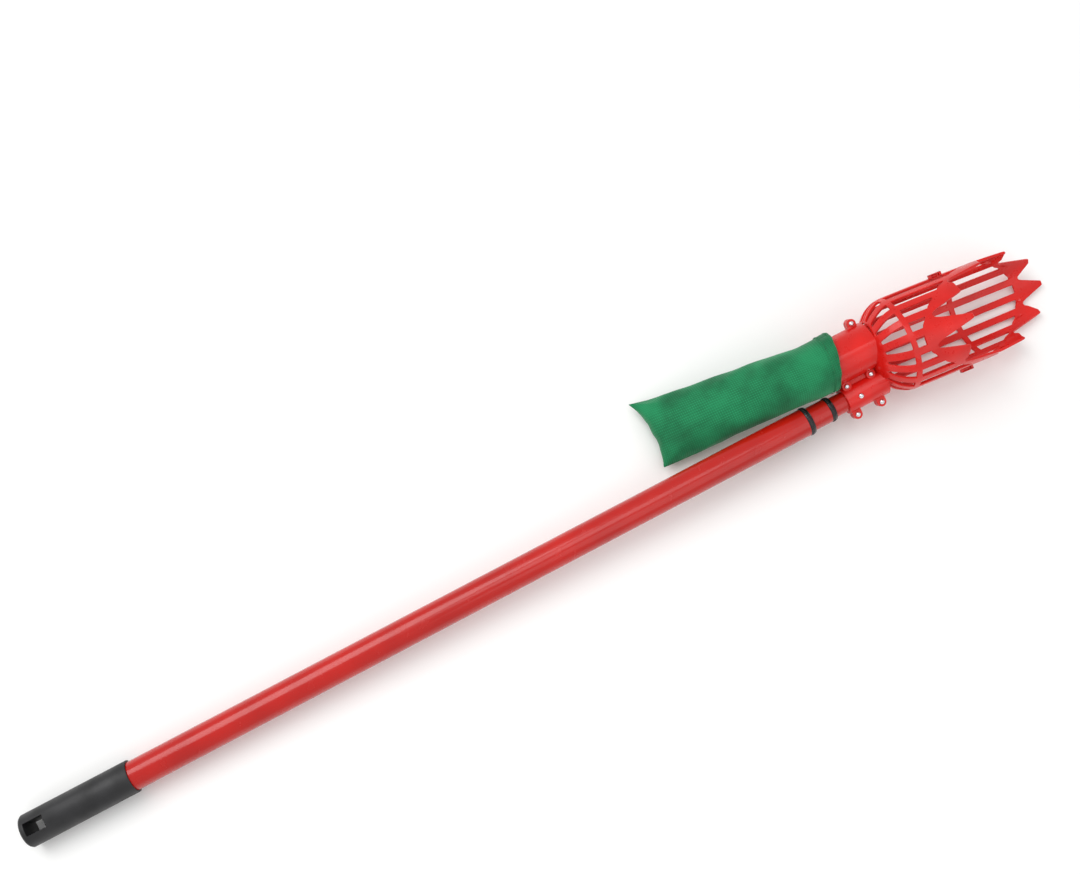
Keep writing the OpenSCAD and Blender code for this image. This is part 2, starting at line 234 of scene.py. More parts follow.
@dataclass(frozen=True)
class WovenCloth(Finish):
    """Plain-woven polyester: crossing threads under a soft sheen, with faded folds."""

    dark: str = "0B4A2B"
    thread: float = 0.0011
    sheen: float = 0.35
    sheen_tint: str = "BFEBD2"

    def pattern(self, tree: Tree, shader: Node) -> None:
        """Add a weave in the cloth's own flat coordinates, at 1.1 mm where the real one is 0.4 mm."""
        flat = add_node(tree, "ShaderNodeUVMap", settings={"uv_map": "flat"})
        inputs = {"Vector": flat, "Scale": 1 / self.thread / 6.5, "Distortion": 0.4, "Detail": 1.0}
        waves = [add_node(tree, "ShaderNodeTexWave", inputs,
                          {"wave_type": "BANDS", "bands_direction": way}).outputs["Fac"]
                 for way in ("X", "Y")]
        weave = add_node(tree, "ShaderNodeMath", {0: waves[0], 1: waves[1]},
                         {"operation": "MULTIPLY"}).outputs["Value"]
        fade = self.noise(tree, 0.035, 5.0)
        both = add_node(tree, "ShaderNodeMath", {0: self.spread(tree, fade, 0.25, 0.85), 1: weave, 2: 0.0},
                        {"operation": "MULTIPLY_ADD"})
        tree.links.new(self.spread(tree, fade, 0.15, 0.75), both.inputs[2])
        colour = self.shade(tree, both.outputs["Value"], self.dark, self.colour)
        fill_inputs(tree, shader, {
            "Base Color": colour, "Sheen Weight": self.sheen, "Sheen Roughness": 0.4,
            "Sheen Tint": linear(self.sheen_tint), "Specular IOR Level": 0.25})
        self.bump(tree, shader, weave, 0.00018)


class Look(Enum):
    """Every finish on the picker, made once."""

    # Steel pole tubes, powder-coated and glossy
    TUBE = PowderCoat("red_powder_coat", "BE1308", 0.22, coat=0.3, specular=0.35)
    # Basket shells, injection-moulded polypropylene
    BASKET = MouldedPlastic("red_moulded_pp", "DA1810", 0.3, coat=0.12, specular=0.35)
    # Grip and plug, matte ABS
    GRIP = SparkGrain("black_spark_grain_abs", "121214", 0.5)
    # Guide collars, glossy ABS
    COLLAR = MouldedPlastic("black_gloss_abs", "17171A", 0.24, dark="0A0A0C")
    # Twist locks, undyed nylon
    NYLON = MouldedPlastic("natural_nylon", "D8D6CC", 0.42, dark="BDBAAE")
    # Screws, nuts and pins, zinc-plated steel
    ZINC = BrightZinc("bright_zinc_plate", "E2E3E6", 0.2, metallic=1.0)
    # Bag and hem, plain-woven polyester
    CLOTH = WovenCloth("green_woven_polyester", "1F8A58", 0.78)
    # Elastic in the bag's mouth
    ELASTIC = WovenCloth("white_woven_elastic", "DDDDD6", 0.8, dark="A8A8A2")
    # Sewing thread of the hem
    THREAD = MouldedPlastic("green_polyester_thread", "1A7A4A", 0.6, dark="0C4A2B")


class Palette:
    """Makes each finish's material the first time that it is asked for."""

    def __init__(self) -> None:
        """Start with no materials."""
        self.made: dict[Look, Material] = {}

    def get(self, look: Look) -> Material:
        """Return the material of a look."""
        if look not in self.made:
            self.made[look] = look.value.build()
        return self.made[look]


# ---------------------------------------------------------------- mesh helpers


@cache
def cad_box(node: str) -> tuple[Vector, Vector]:
    """Return the lowest and highest corners of a CAD node."""
    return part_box(node)


def new_piece(name: str, mesh: bpy.types.Mesh) -> Piece:
    """Put a mesh in the scene as an object at the origin."""
    piece = bpy.data.objects.new(name, mesh)
    bpy.context.scene.collection.objects.link(piece)
    return piece


def piece_of(name: str, points: Sequence, faces: Sequence) -> Piece:
    """Make a piece from points and faces."""
    mesh = bpy.data.meshes.new(name)
    mesh.from_pydata([tuple(p) for p in points], [], [tuple(f) for f in faces])
    mesh.validate()
    return new_piece(name, mesh)


def soften(piece: Piece, degrees: float = 35.0) -> None:
    """Shade a piece smoothly, apart from edges sharper than an angle."""
    piece.data.shade_smooth()
    piece.data.set_sharp_from_angle(angle=math.radians(degrees))


def outward(piece: Piece) -> None:
    """Merge doubles and point every face outwards."""
    mesh = bmesh.new()
    mesh.from_mesh(piece.data)
    bmesh.ops.remove_doubles(mesh, verts=mesh.verts, dist=1e-6)
    bmesh.ops.recalc_face_normals(mesh, faces=mesh.faces)
    mesh.to_mesh(piece.data)
    mesh.free()


def bevel(piece: Piece, width: float, segments: int = 2, degrees: float = 40.0) -> None:
    """Add a bevel to a piece's edges that are sharper than an angle."""
    modifier = piece.modifiers.new("edge_radius", "BEVEL")
    modifier.width = width
    modifier.segments = segments
    modifier.limit_method = "ANGLE"
    modifier.angle_limit = math.radians(degrees)
    modifier.use_clamp_overlap = True


def subdivide(piece: Piece, levels: int) -> None:
    """Round a piece off by subdivision."""
    modifier = piece.modifiers.new("moulded", "SUBSURF")
    modifier.levels = modifier.render_levels = levels
    flatten(piece)


def thicken(piece: Piece, thickness: float, offset: float) -> None:
    """Give a sheet a wall: inwards for an offset of -1, and to both sides for 0."""
    modifier = piece.modifiers.new("wall", "SOLIDIFY")
    modifier.thickness = thickness
    modifier.offset = offset
    flatten(piece)


def turns(steps: int) -> list[float]:
    """List the angles of even steps round a full turn."""
    return [math.tau * k / steps for k in range(steps)]


def flatten(piece: Piece) -> Piece:
    """Turn a piece's modifiers into plain mesh."""
    graph = bpy.context.evaluated_depsgraph_get()
    mesh = bpy.data.meshes.new_from_object(piece.evaluated_get(graph), depsgraph=graph)
    piece.modifiers.clear()
    piece.data = mesh
    return piece


def combine(name: str, pieces: Iterable[Piece], look: Material, degrees: float = 35.0) -> Piece:
    """Join pieces into one object with one material.

    Args:
        name: the new object's name.
        pieces: objects at the origin, which are removed.
        look: the material.
        degrees: edges sharper than this stay sharp.
    Returns:
        The joined object.
    """
    mesh = bmesh.new()
    for piece in pieces:
        flatten(piece)
        mesh.from_mesh(piece.data)
        bpy.data.objects.remove(piece)
    joined = bpy.data.meshes.new(name)
    mesh.to_mesh(joined)
    mesh.free()
    result = new_piece(name, joined)
    dress(result, look)
    soften(result, degrees)
    return result


def dress(piece: Piece, look: Material) -> None:
    """Give a piece one material."""
    piece.data.materials.clear()
    piece.data.materials.append(look)


def dress_node(name: str, look: Material) -> None:
    """Give a CAD node's slots a material, and leave its mesh alone."""
    for node_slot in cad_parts[name].material_slots:
        node_slot.material = look


def lathe(name: str, profile: Sequence[tuple[float, float]], steps: int,
          place: Callable[[float, float, float], Vector]) -> Piece:
    """Turn a closed profile about an axis.

    Args:
        name: the piece's name.
        profile: points (along, radius), closed back to the first.
        steps: segments around.
        place: turns along, radius and angle into a point.
    Returns:
        The piece, with its faces outward.
    """
    count = len(profile)
    points = [place(x, r, a) for a in turns(steps) for x, r in profile]
    faces = [(k * count + i, k * count + (i + 1) % count,
              (k + 1) % steps * count + (i + 1) % count, (k + 1) % steps * count + i)
             for k in range(steps) for i in range(count)]
    piece = piece_of(name, points, faces)
    outward(piece)
    return piece


def box_piece(name: str, low: Sequence[float], high: Sequence[float], place: Matrix,
              radius: float) -> Piece:
    """Make a box with round edges in a frame of its own.

    Args:
        name: the piece's name.
        low: its lowest corner.
        high: its highest corner.
        place: the frame.
        radius: the edges' radius.
    Returns:
        The piece.
    """
    corners = [place @ Vector((x, y, z)) for x in (low[0], high[0]) for y in (low[1], high[1])
               for z in (low[2], high[2])]
    faces = [(0, 1, 3, 2), (4, 6, 7, 5), (0, 4, 5, 1), (2, 3, 7, 6), (0, 2, 6, 4), (1, 5, 7, 3)]
    piece = piece_of(name, corners, faces)
    outward(piece)
    bevel(piece, radius, 2)
    return piece


def cad_copy(node: str, name: str) -> Piece:
    """Copy a CAD node's mesh, merged and with its flat faces whole."""
    mesh = bmesh.new()
    mesh.from_mesh(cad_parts[node].data)
    bmesh.ops.remove_doubles(mesh, verts=mesh.verts, dist=2e-6)
    bmesh.ops.dissolve_limit(mesh, angle_limit=math.radians(0.5), verts=mesh.verts, edges=mesh.edges)
    copy = bpy.data.meshes.new(name)
    mesh.to_mesh(copy)
    mesh.free()
    return new_piece(name, copy)


# ---------------------------------------------------------------- geometry nodes


def node_group(name: str, sockets: Sequence[tuple[str, str, object]]) -> Tree:
    """Start a Geometry Nodes tree with a geometry in, a geometry out and named inputs.

    Args:
        name: the tree's name.
        sockets: name, socket type and default of each input.
    Returns:
        The tree, with its input and output nodes named "in" and "out".
    """
    tree = bpy.data.node_groups.new(name, "GeometryNodeTree")
    tree.interface.new_socket("Geometry", in_out="INPUT", socket_type="NodeSocketGeometry")
    tree.interface.new_socket("Geometry", in_out="OUTPUT", socket_type="NodeSocketGeometry")
    for label, kind, default in sockets:
        made = tree.interface.new_socket(label, in_out="INPUT", socket_type=kind)
        if default is not None:
            made.default_value = default
    add_node(tree, "NodeGroupInput", settings={"name": "in"})
    add_node(tree, "NodeGroupOutput", settings={"name": "out"})
    return tree


def run_nodes(piece: Piece, tree: Tree, values: dict) -> Piece:
    """Run a tree on a piece and keep the result as plain mesh.

    Args:
        piece: the object that carries the points or the path.
        tree: the Geometry Nodes tree.
        values: input name to value.
    Returns:
        The same object with its new mesh.
    """
    modifier = piece.modifiers.new(tree.name, "NODES")
    modifier.node_group = tree
    for item in tree.interface.items_tree:
        if item.in_out == "INPUT" and item.name in values:
            modifier[item.identifier] = values[item.name]
    return flatten(piece)


def finish_tree(tree: Tree, geometry: Node) -> Tree:
    """End a tree in Realize Instances and Set Material, and return it."""
    real = add_node(tree, "GeometryNodeRealizeInstances", {"Geometry": geometry})
    material = tree.nodes["in"].outputs["Material"]
    dressed = add_node(tree, "GeometryNodeSetMaterial", {"Geometry": real, "Material": material})
    fill_inputs(tree, tree.nodes["out"], {"Geometry": dressed})
    return tree


def copies_on_points() -> Tree:
    """Make the tree that sets an object on every point, each turned about its own Z at random."""
    tree = node_group("copies_on_points", [
        ("Object", "NodeSocketObject", None), ("Tilt", "NodeSocketRotation", None),
        ("Seed", "NodeSocketInt", 3), ("Material", "NodeSocketMaterial", None)])
    add, inputs = partial(add_node, tree), tree.nodes["in"].outputs
    low, high = 2, 3
    shape = add("GeometryNodeObjectInfo", {"Object": inputs["Object"]}).outputs["Geometry"]
    turn = add("FunctionNodeRandomValue", {low: 0.0, high: math.pi, "Seed": inputs["Seed"]},
               {"data_type": "FLOAT"}).outputs[1]
    spin = add("FunctionNodeAxisAngleToRotation", {"Axis": (0, 0, 1), "Angle": turn})
    rotation = add("FunctionNodeRotateRotation", {"Rotation": inputs["Tilt"], "Rotate By": spin},
                   {"rotation_space": "LOCAL"})
    return finish_tree(tree, add("GeometryNodeInstanceOnPoints", {
        "Points": inputs["Geometry"], "Instance": shape, "Rotation": rotation}))


def stitches_on_path() -> Tree:
    """Make the tree that sews a path: a short thread at every stitch, lying along the path."""
    tree = node_group("stitches_on_path", [
        ("Stitch", "NodeSocketFloat", 0.0034), ("Thread", "NodeSocketFloat", 0.00045),
        ("Material", "NodeSocketMaterial", None)])
    add, inputs = partial(add_node, tree), tree.nodes["in"].outputs
    half_length = 0.36
    path = add("GeometryNodeMeshToCurve", {"Mesh": inputs["Geometry"]})
    spaced = add("GeometryNodeResampleCurve", {"Curve": path, "Length": inputs["Stitch"]},
                 {"mode": "LENGTH"})
    along = add("GeometryNodeInputTangent")
    turned = add("FunctionNodeAlignRotationToVector", {"Vector": along}, {"axis": "Z"})
    share = add("ShaderNodeMath", {0: inputs["Stitch"], 1: half_length}, {"operation": "MULTIPLY"})
    size = add("ShaderNodeCombineXYZ", {"X": inputs["Thread"], "Y": inputs["Thread"], "Z": share})
    thread = add("GeometryNodeMeshIcoSphere", {"Radius": 1.0, "Subdivisions": 2})
    return finish_tree(tree, add("GeometryNodeInstanceOnPoints", {
        "Points": spaced, "Rotation": turned, "Instance": thread, "Scale": size}))


def ribs_round_pole() -> Tree:
    """Make the tree that sets small ribs round the pole's axis, on a ring of points."""
    tree = node_group("ribs_round_pole", [
        ("Count", "NodeSocketInt", 40), ("Radius", "NodeSocketFloat", 0.015),
        ("Centre", "NodeSocketFloat", 0.0), ("Size", "NodeSocketVector", (1, 1, 1)),
        ("Material", "NodeSocketMaterial", None)])
    add, inputs = partial(add_node, tree), tree.nodes["in"].outputs
    ring = add("GeometryNodeMeshCircle", {"Vertices": inputs["Count"], "Radius": inputs["Radius"]})
    shift = add("ShaderNodeCombineXYZ", {"X": inputs["Centre"]})
    stood = add("GeometryNodeTransform", {"Geometry": ring, "Translation": shift,
                                          "Rotation": (0, math.pi / 2, 0)})
    rib = add("GeometryNodeMeshIcoSphere", {"Radius": 1.0, "Subdivisions": 2})
    return finish_tree(tree, add("GeometryNodeInstanceOnPoints", {
        "Points": stood, "Instance": rib, "Scale": inputs["Size"]}))


# ---------------------------------------------------------------- the pole


@dataclass
class Pole:
    """The three tubes, their collars, the grip and the locks inside."""

    palette: Palette
    rib_count: int = 44
    rib_size: tuple = (1.9 * MM, 0.62 * MM, 0.62 * MM)
    rib_sink: float = 0.25 * MM
    grip_bevel: float = 1.1 * MM
    skirt_in: float = 1.5 * MM
    ring_round: float = 0.7 * MM
    lip: tuple = ((1.6, 0.0), (1.1, 0.5), (0.8, 0.35), (0.3, 0.6), (0.0, 1.1))

    def dress(self) -> None:
        """Give the pole's CAD nodes their finishes."""
        looks = {
            Look.TUBE: ("outer_tube", "middle_tube", "inner_tube"),
            Look.NYLON: ("lower_lock_sleeve", "upper_lock_sleeve", "lower_lock_screw", "upper_lock_screw"),
            Look.ZINC: ("lower_lock_pin", "upper_lock_pin", "seam_nuts"),
            Look.GRIP: ("tube_plug",)}
        for look, nodes in looks.items():
            for name in nodes:
                dress_node(name, self.palette.get(look))
        LOG.info("dressed the pole's tubes and locks")

    def build_grip(self) -> Piece:
        """Round every edge of the moulded grip."""
        grip = cad_copy("grip", "grip_moulding")
        bevel(grip, self.grip_bevel, 3, 30.0)
        grip = combine("grip_moulding", [grip], self.palette.get(Look.GRIP), 40.0)
        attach(grip, "pole")
        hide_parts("grip")
        LOG.info("grip: %d faces", len(grip.data.polygons))
        return grip

    def build_collar(self, node: str, body: str) -> Piece:
        """Build a black collar: a ring with ribs round it and a skirt inside its tube.

        Args:
            node: the CAD collar.
            body: the body that it rides on.
        Returns:
            The collar.
        """
        low, high = cad_box(node)
        front, ring = high.x, high.y
        back, guide = collar_seat(node), collar_guide(node)
        skirt = ring - self.skirt_in
        profile = [(low.x, guide), (low.x, skirt), (back, skirt), (back, ring - self.ring_round),
                   (back + self.ring_round, ring),
                   *[(front - behind * MM, ring - inside * MM) for behind, inside in self.lip],
                   (front, guide)]
        body_ring = lathe(f"{node}_ring", profile, 96, on_pole)
        carrier = piece_of(f"{node}_ribs", [(0, 0, 0)], [])
        run_nodes(carrier, ribs_round_pole(), {
            "Count": self.rib_count, "Radius": ring - self.rib_sink,
            "Centre": (back + front - self.lip[0][0] * MM) / 2,
            "Size": self.rib_size, "Material": self.palette.get(Look.COLLAR)})
        collar = combine(f"{node}_ribbed", [body_ring, carrier], self.palette.get(Look.COLLAR), 50.0)
        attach(collar, body)
        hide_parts(node)
        LOG.info("%s: %d faces", node, len(collar.data.polygons))
        return collar


def on_pole(x: float, radius: float, angle: float) -> Vector:
    """Return a point at a distance along the pole, a radius and an angle about it."""
    return Vector((x, radius * math.cos(angle), radius * math.sin(angle)))


def collar_seat(node: str) -> float:
    """Return where a collar's ring begins, at its tube's end."""
    gap = 0.05 * MM
    tube = {"outer_collar": "outer_tube", "middle_collar": "middle_tube"}[node]
    return cad_box(tube)[1].x + gap


def collar_guide(node: str) -> float:
    """Return the radius of a collar's bore, a running gap outside the tube that slides in it."""
    running_gap = 0.07 * MM
    tube = {"outer_collar": "middle_tube", "middle_collar": "inner_tube"}[node]
    return cad_box(tube)[1].y + running_gap


# ---------------------------------------------------------------- the basket


@dataclass(frozen=True)
class Column:
    """One line of the basket's mesh from floor to rim band, on a slat or across a window.

    It lies an offset to the side of a slat, or a share of the way from there to the following slat.
    """

    angle: float
    number: int
    window: bool
    slat: float
    offset: float
    following: Optional[tuple[float, float]] = None
    share: float = 0.0


def quad(grid: dict[tuple[int, int], int], i: int, j: int) -> tuple[int, int, int, int]:
    """Return the face between a grid's columns i and i + 1 and its rows j and j + 1."""
    return grid[i, j], grid[i + 1, j], grid[i + 1, j + 1], grid[i, j + 1]


@dataclass
class Basket:
    """The slatted basket's two shells, with their neck, socket, lugs and screws."""

    palette: Palette
    roll: float = math.radians(20)
    lean: float = math.radians(5.3)
    radius: float = 51 * MM
    wall: float = 2.9 * MM
    shoulder: float = 40 * MM
    mouth_mid: float = 163 * MM
    mouth_slant: float = 75 * MM
    mouth_dip: float = 9 * MM
    long_tooth: float = 24 * MM
    slats: int = 18
    slat_w: float = 8 * MM
    teeth: int = 10
    first_tooth: float = math.radians(12)
    tooth_h: float = 24 * MM
    tooth_tip: float = 5 * MM
    band_w: float = 9 * MM
    hoop_w: float = 6 * MM
    hoop_1: float = 34 * MM
    hoop_2: float = 130 * MM
    floor_t: float = 9 * MM
    edge: float = 0.75 * MM
    neck_offset: float = 42 * MM
    basket_y: float = 32 * MM
    neck_bore: float = 23 * MM
    catch_t: float = 100 * MM
    half_gap: float = 0.12 * MM
    window_shares: tuple[float, ...] = (0.33, 0.67)
    valley_root: float = 4 * MM
    tip_round: float = 1.4 * MM
    valley_lines: tuple[float, ...] = (9 * MM, 6.5 * MM)
    valley_depth: float = 0.98
    tooth_shares: tuple = (0.0, 0.22, 0.48, 0.74, 0.92, 1.0)
    sewing: float = 0.6 * MM
    seam_clear: float = 0.01
    taper: float = 0.05
    skin: float = 0.15 * MM
    rows_between: tuple = (4, 8, 6)
    root_cut: float = 10.6 * MM
    root_round: float = 0.55 * MM
    tongue: tuple = (((0.3, -2.4, -4), (2.7, 4.0, 4)), ((-1.4, -2.4, -4), (1.0, -0.2, 4)))
    loop: tuple = (((-1.2, 0.1, -7), (0.1, 5.1, 7)), ((2.9, 0.1, -7), (4.0, 5.1, 7)),
                   ((-1.2, 0.1, 4.3), (4.0, 5.1, 7)), ((-1.2, 0.1, -7), (4.0, 5.1, -4.3)))
    catch_round: float = 0.4 * MM
    pan_head: tuple = ((0.0, 1.0), (0.0, 2.6), (0.35, 2.75), (0.9, 2.6), (1.5, 2.1), (1.95, 1.4), (2.1, 0.8))
    neck_len: float = 41 * MM
    inner_show: float = 15 * MM
    head: Matrix = field(init=False)
    local: Matrix = field(init=False)
    floor_x: float = field(init=False)

    def __post_init__(self) -> None:
        """Work out the head's and the basket's own frames."""
        self.floor_x = cad_box("middle_collar")[1].x + self.inner_show + self.neck_len
        self.head = Matrix.Rotation(self.roll, 4, "X")
        turn = Matrix(((0, 0, 1, 0), (1, 0, 0, 0), (0, 1, 0, 0), (0, 0, 0, 1)))
        self.local = (self.head @ Matrix.Translation((self.floor_x, self.basket_y, 0))
                      @ Matrix.Rotation(-self.lean, 4, "Z") @ turn)

    def radius_at(self, t: float) -> float:
        """Return the basket's outer radius at a distance t from its floor."""
        if t < self.shoulder:
            return self.radius * math.sqrt(max(0.0, 1 - (1 - t / self.shoulder) ** 2))
        span = self.mouth_mid + self.mouth_slant - self.shoulder
        return self.radius * (1 - self.taper * ((t - self.shoulder) / span) ** 2)

    def rim_at(self, a: float) -> float:
        """Return how far the teeth's plain ends are from the floor at an angle."""
        near = max(0.0, math.sin(a))
        return self.mouth_mid - self.mouth_slant * math.sin(a) - self.mouth_dip * near ** 3

    def tips_at(self, a: float) -> float:
        """Return how far the tips are from the floor, with the one long tooth."""
        near = max(0.0, math.cos(a - self.first_tooth - 2 * math.tau / self.teeth))
        return self.rim_at(a) + self.long_tooth * near ** 16

    def band_at(self, a: float) -> float:
        """Return where the rim band begins at an angle."""
        return self.rim_at(a) - self.tooth_h - self.band_w

    def start_at(self, a: float) -> float:
        """Return where the wall begins: at the floor, or outside the neck's bore."""
        offset = self.neck_offset - self.basket_y
        reach = (offset * math.cos(a)
                 + math.sqrt(self.neck_bore ** 2 - (offset * math.sin(a)) ** 2))
        ratio = min(0.999, (reach + 0.3 * MM) / self.radius)
        return max(5 * MM, self.shoulder * (1 - math.sqrt(1 - ratio ** 2)))

    def point(self, a: float, t: float, across: float = 0.0) -> Vector:
        """Return a point of the wall's outer face.

        Args:
            a: angle about the basket's axis.
            t: distance from the floor.
            across: a distance sideways from that angle.
        """
        r = self.radius_at(t) + self.skin
        turned = a + across / r
        return Vector((r * math.cos(turned), r * math.sin(turned), t))

    def rows(self, a: float) -> list[tuple[float, str]]:
        """List the wall's rows at an angle, each with the zone that follows it."""
        e = self.edge
        start = self.start_at(a)
        open_1 = max(self.floor_t, start + 1.8 * MM)
        h1, h1_end = self.hoop_1 - self.hoop_w / 2, self.hoop_1 + self.hoop_w / 2
        band = self.band_at(a)
        h2 = min(self.hoop_2 - self.hoop_w / 2, band - self.hoop_w - 4 * e)
        h2 = max(h2, h1_end + 3 * e)
        h2_end = min(h2 + self.hoop_w, band - 2.5 * e)
        result = [(start, "floor"), ((start + open_1) / 2, "floor"), (open_1, "w1")]
        near, middle, far = self.rows_between
        result += self.stretch(open_1, h1, near, "w1")
        result += [(h1, "hoop"), (h1 + e, "hoop"), (h1_end - e, "hoop"), (h1_end, "w2")]
        result += self.stretch(h1_end, h2, middle, "w2")
        result += [(h2, "hoop2"), (h2 + e, "hoop2"), (h2_end - e, "hoop2"), (h2_end, "w3")]
        result += self.stretch(h2_end, band, far, "w3")
        result += [(band, "band"), (band + e, "band"), (band + self.band_w / 2, "end")]
        return result

    def stretch(self, low: float, high: float, count: int, zone: str) -> list[tuple[float, str]]:
        """List the rows inside a stretch, close to its ends and even between them."""
        e = min(self.edge, (high - low) / 4)
        inner = [low + e + (high - low - 2 * e) * k / count for k in range(count + 1)]
        return [(t, zone) for t in inner]

    def columns(self, first: float, last: float) -> list[Column]:
        """List the wall's columns from one seam to the other, slats and windows alike."""
        half, e = self.slat_w / 2, self.edge
        pitch = math.tau / self.slats
        low, high = round(first / pitch), round(last / pitch)
        result = []
        for k in range(low, high + 1):
            a, following = k * pitch, (k + 1) * pitch
            offsets = [-half, -half + e, 0.0, half - e, half]
            if k == low:
                offsets = [self.half_gap, half - e, half]
            if k == high:
                offsets = [-half, -half + e, -self.half_gap]
            result += [Column(a + x / self.radius, k, k < high and x == half, a, x) for x in offsets]
            if k < high:
                result += [Column(a + (following - a) * share, k, True, a, half, (following, -half), share)
                           for share in self.window_shares]
        return result

    def column_point(self, column: Column, t: float) -> Vector:
        """Return a column's point at a distance from the floor."""
        if column.following is None:
            return self.point(column.slat, t, column.offset)
        r = self.radius_at(t)
        left = column.slat + column.offset / r
        right = column.following[0] + column.following[1] / r
        return self.point(left + (right - left) * column.share, t)

    def is_open(self, zone: str, window: int) -> bool:
        """Say whether a zone is open in a window."""
        if zone in ("w1", "w2", "w3"):
            return True
        middle = (window + 0.5) * math.tau / self.slats
        step = math.radians(130 / self.slats)
        ends = min(self.band_at(middle - step), self.band_at(middle + step))
        return zone == "hoop2" and ends <= self.hoop_2 + self.hoop_w

    def cage(self, name: str, first: float, last: float) -> Piece:
        """Build one shell's slats, hoops, rim band and teeth as one sheet with a wall.

        Args:
            name: the piece's name.
            first: the angle of one seam.
            last: the angle of the other.
        Returns:
            The piece, in the basket's own frame.
        """
        columns = self.columns(first, last)
        zones = [zone for _, zone in self.rows(0.0)]
        grid: dict[tuple[int, int], int] = {}
        points: list[Vector] = []
        for i, column in enumerate(columns):
            for j, (t, _) in enumerate(self.rows(column.angle)):
                grid[i, j] = len(points)
                points.append(self.column_point(column, t))
        faces = [quad(grid, i, j) for i, column in enumerate(columns[:-1]) for j in range(len(zones) - 1)
                 if not (column.window and self.is_open(zones[j], column.number))]
        foot = [(column.angle, grid[i, len(zones) - 1]) for i, column in enumerate(columns)]
        self.crown(points, faces, foot, first, last)
        piece = piece_of(name, points, faces)
        thicken(piece, self.wall, -1.0)
        subdivide(piece, 2)
        piece.data.transform(self.local)
        return piece

    def crown(self, points: list[Vector], faces: list[tuple], foot: list[tuple[float, int]],
              first: float, last: float) -> None:
        """Add the teeth above the rim band, and sew them to it."""
        lines = self.tooth_lines(first, last)
        shares = self.tooth_shares
        grid = {}
        base_drop = self.band_w / 2 - self.sewing
        for i, (a, top) in enumerate(lines):
            low = self.band_at(a) + self.band_w - base_drop
            for j, share in enumerate(shares):
                grid[i, j] = len(points)
                points.append(self.point(a, low + (top - low) * share))
        faces += [quad(grid, i, j) for i in range(len(lines) - 1) for j in range(len(shares) - 1)]
        head = [(lines[i][0], grid[i, 0]) for i in range(len(lines))]
        i = j = 0
        while i < len(foot) - 1 or j < len(head) - 1:
            step_foot = j == len(head) - 1 or (i < len(foot) - 1 and foot[i + 1][0] <= head[j + 1][0])
            if step_foot:
                faces.append((foot[i][1], foot[i + 1][1], head[j][1]))
                i += 1
            else:
                faces.append((foot[i][1], head[j + 1][1], head[j][1]))
                j += 1

    def tooth_lines(self, first: float, last: float) -> list[tuple[float, float]]:
        """List the crown's columns as angle and top, from one seam to the other."""
        pitch = math.tau / self.teeth
        r = self.radius_at(self.mouth_mid)
        reach = r * math.sin(pitch / 2)
        corner = reach - self.tooth_tip / 2
        root = self.valley_root
        outer, inner = self.valley_lines
        side = [root / 2, root, inner, outer, corner - self.tip_round, corner, corner + self.edge]
        offsets = [-reach, *[-x for x in reversed(side)], 0.0, *side]
        result = []
        for k in range(-1, self.teeth + 1):
            valley = (k + 0.5) * pitch + self.first_tooth
            foot = self.rim_at(valley) - self.tooth_h + root
            for x in offsets:
                a = valley + math.asin(max(-1.0, min(1.0, x / r)))
                if abs(x) <= root:
                    top = foot - math.sqrt(max(0.0, root ** 2 - x ** 2)) * self.valley_depth
                else:
                    tip = self.tips_at(valley + math.copysign(pitch / 2, x))
                    share = min(1.0, (abs(x) - root) / (corner - root))
                    top = foot + (tip - foot) * share
                result.append((a, top))
        gap = self.half_gap / r
        low, high = first + gap, last - gap
        inside = [(a, top) for a, top in result if low + self.seam_clear < a < high - self.seam_clear]
        return [(low, top_between(result, low)), *inside, (high, top_between(result, high))]

    def root_part(self, node: str) -> Piece:
        """Copy a shell's neck, socket, lugs and floor from the frame, with round edges."""
        piece = cad_copy(node, f"{node}_root")
        mesh = bmesh.new()
        mesh.from_mesh(piece.data)
        origin = self.local @ Vector((0, 0, self.root_cut))
        normal = (self.local.to_3x3() @ Vector((0, 0, 1))).normalized()
        bmesh.ops.bisect_plane(mesh, geom=mesh.verts[:] + mesh.edges[:] + mesh.faces[:], dist=1e-7,
                               plane_co=origin, plane_no=normal, clear_outer=True)
        rims = [e for e in mesh.edges if e.is_boundary]
        bmesh.ops.holes_fill(mesh, edges=rims, sides=0)
        mesh.to_mesh(piece.data)
        mesh.free()
        bevel(piece, self.root_round, 2, 42.0)
        return piece

    def catch(self, side: int, tongue: bool) -> list[Piece]:
        """Build the seam catch on one side: the front's loop or the back's tongue."""
        flip = Matrix.Identity(4)
        if side < 0:
            flip = Matrix.Rotation(math.pi, 4, "Z") @ Matrix.Scale(-1, 4, (0, 1, 0))
        place = self.local @ flip @ Matrix.Translation((self.radius_at(self.catch_t), 0, self.catch_t))
        boxes = self.tongue if tongue else self.loop
        return [box_piece("catch", [v * MM for v in low], [v * MM for v in high], place, self.catch_round)
                for low, high in boxes]

    def build_shell(self, node: str, first: float, last: float) -> Piece:
        """Build one shell whole."""
        front = node == "basket_front"
        parts = [self.cage(f"{node}_cage", first, last), self.root_part(node)]
        for side in (1, -1):
            parts += self.catch(side, not front)
        shell = combine(f"{node}_moulding", parts, self.palette.get(Look.BASKET), 32.0)
        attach(shell, "head")
        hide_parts(node)
        LOG.info("%s: %d faces", node, len(shell.data.polygons))
        return shell

